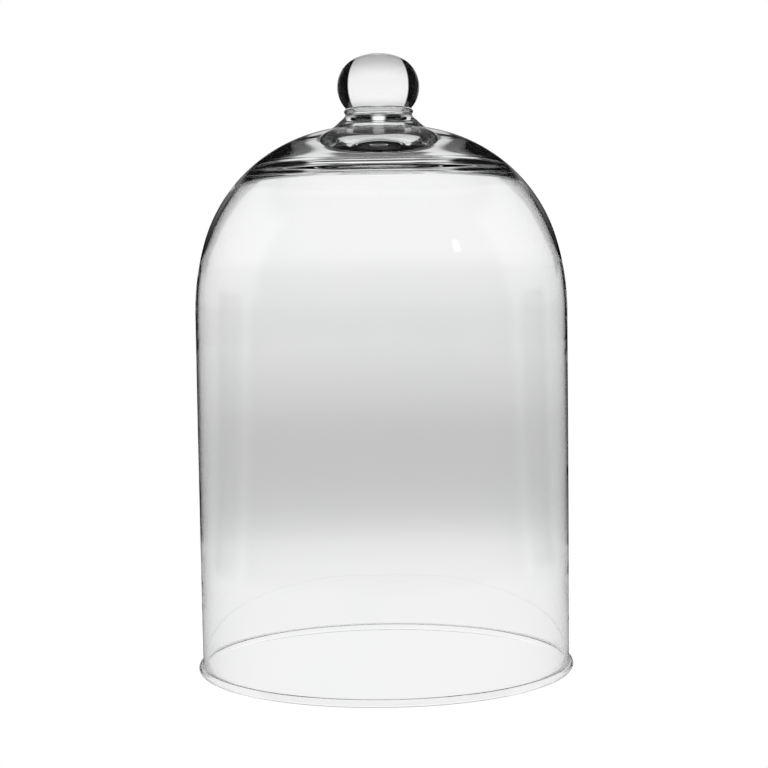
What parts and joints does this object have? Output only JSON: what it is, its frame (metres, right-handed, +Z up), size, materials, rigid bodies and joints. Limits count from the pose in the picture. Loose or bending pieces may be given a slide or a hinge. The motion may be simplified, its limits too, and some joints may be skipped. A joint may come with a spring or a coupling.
{
  "type": "bell jar dome",
  "caption": "Clear blown-glass dome, open below, with a heavy crown, a waisted collar and a ball knob to lift it by.",
  "frame": {"origin": "centre of the rim, on the surface the dome stands on", "axes": "+Z up along the dome's axis, to the knob. The dome is a body of revolution, so X and Y are free."},
  "size_m": [0.2044, 0.2044, 0.3332],
  "materials": {
    "bell_glass": "clear, fire-polished",
    "collar_glass": "clear, fire-polished",
    "knob_glass": "clear, fire-polished"
  },
  "bodies": {
    "root": {"bell": "bell_glass", "collar": "collar_glass", "knob": "knob_glass"}
  },
  "joints": []
}
